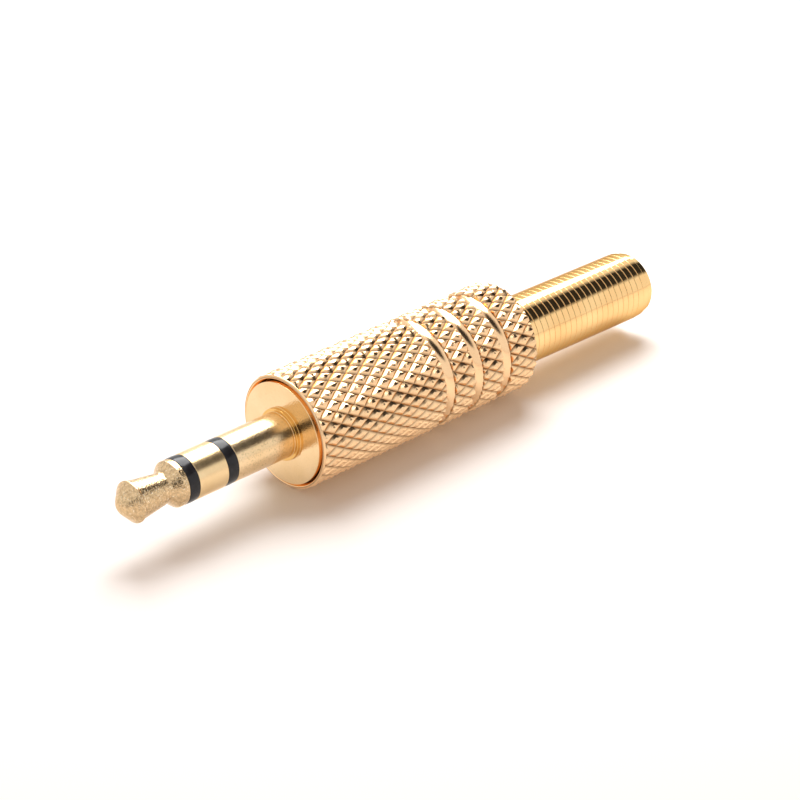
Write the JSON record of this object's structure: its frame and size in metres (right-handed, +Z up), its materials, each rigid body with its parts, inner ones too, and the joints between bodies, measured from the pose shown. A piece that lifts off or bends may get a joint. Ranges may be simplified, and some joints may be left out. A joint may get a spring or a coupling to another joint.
{
  "type": "stereo jack plug",
  "caption": "Gold stereo jack plug for a cable, with a banded contact pin, a knurled screw-on shell and a coil spring strain relief.",
  "frame": {"origin": "on the plug's axis at the foot of the pin, in the front face of the step that the pin rises from", "axes": "+X along the plug from the tip towards the cable, +Z up with the plug lying on its shell, +Y to the side"},
  "size_m": [0.0527, 0.0088, 0.0088],
  "materials": {
    "tip_metal": "gold plated, fine matte grain",
    "contact_gold": "gold plated, satin",
    "body_gold": "gold plated, polished",
    "shell_gold": "rose gold plated, polished knurl",
    "spring_gold": "gold plated spring steel, polished",
    "insulator_black": "glossy black",
    "fibre_washer": "matt fibre board",
    "liner_plastic": "thin milky plastic"
  },
  "bodies": {
    "contact_core": {"tip_contact": "tip_metal", "tip_insulator": "insulator_black", "ring_contact": "contact_gold", "ring_insulator": "insulator_black", "sleeve_body": "body_gold", "ground_lug": "body_gold", "middle_washer": "fibre_washer", "ring_lug": "body_gold", "rear_washer": "fibre_washer", "tip_lug": "body_gold"},
    "liner": {"insulating_sleeve": "liner_plastic"},
    "spring": {"strain_relief_spring": "spring_gold"},
    "shell": {"knurled_shell": "shell_gold"}
  },
  "joints": [
    {"name": "shell_pull_off", "type": "slide", "parent": "contact_core", "child": "liner", "axis": [1, 0, 0], "range_m": [0, 0.024]},
    {"name": "thread_travel", "type": "slide", "parent": "liner", "child": "spring", "axis": [1, 0, 0], "range_m": [0, 0.0045]},
    {"name": "shell_unscrew", "type": "hinge", "parent": "spring", "child": "shell", "pos_m": [0, 0, 0], "axis": [1, 0, 0], "range_deg": [0, 3240]}
  ],
  "couplings": [
    {"joint": "shell_unscrew", "follows": "thread_travel", "rad_per_m": 12566}
  ]
}
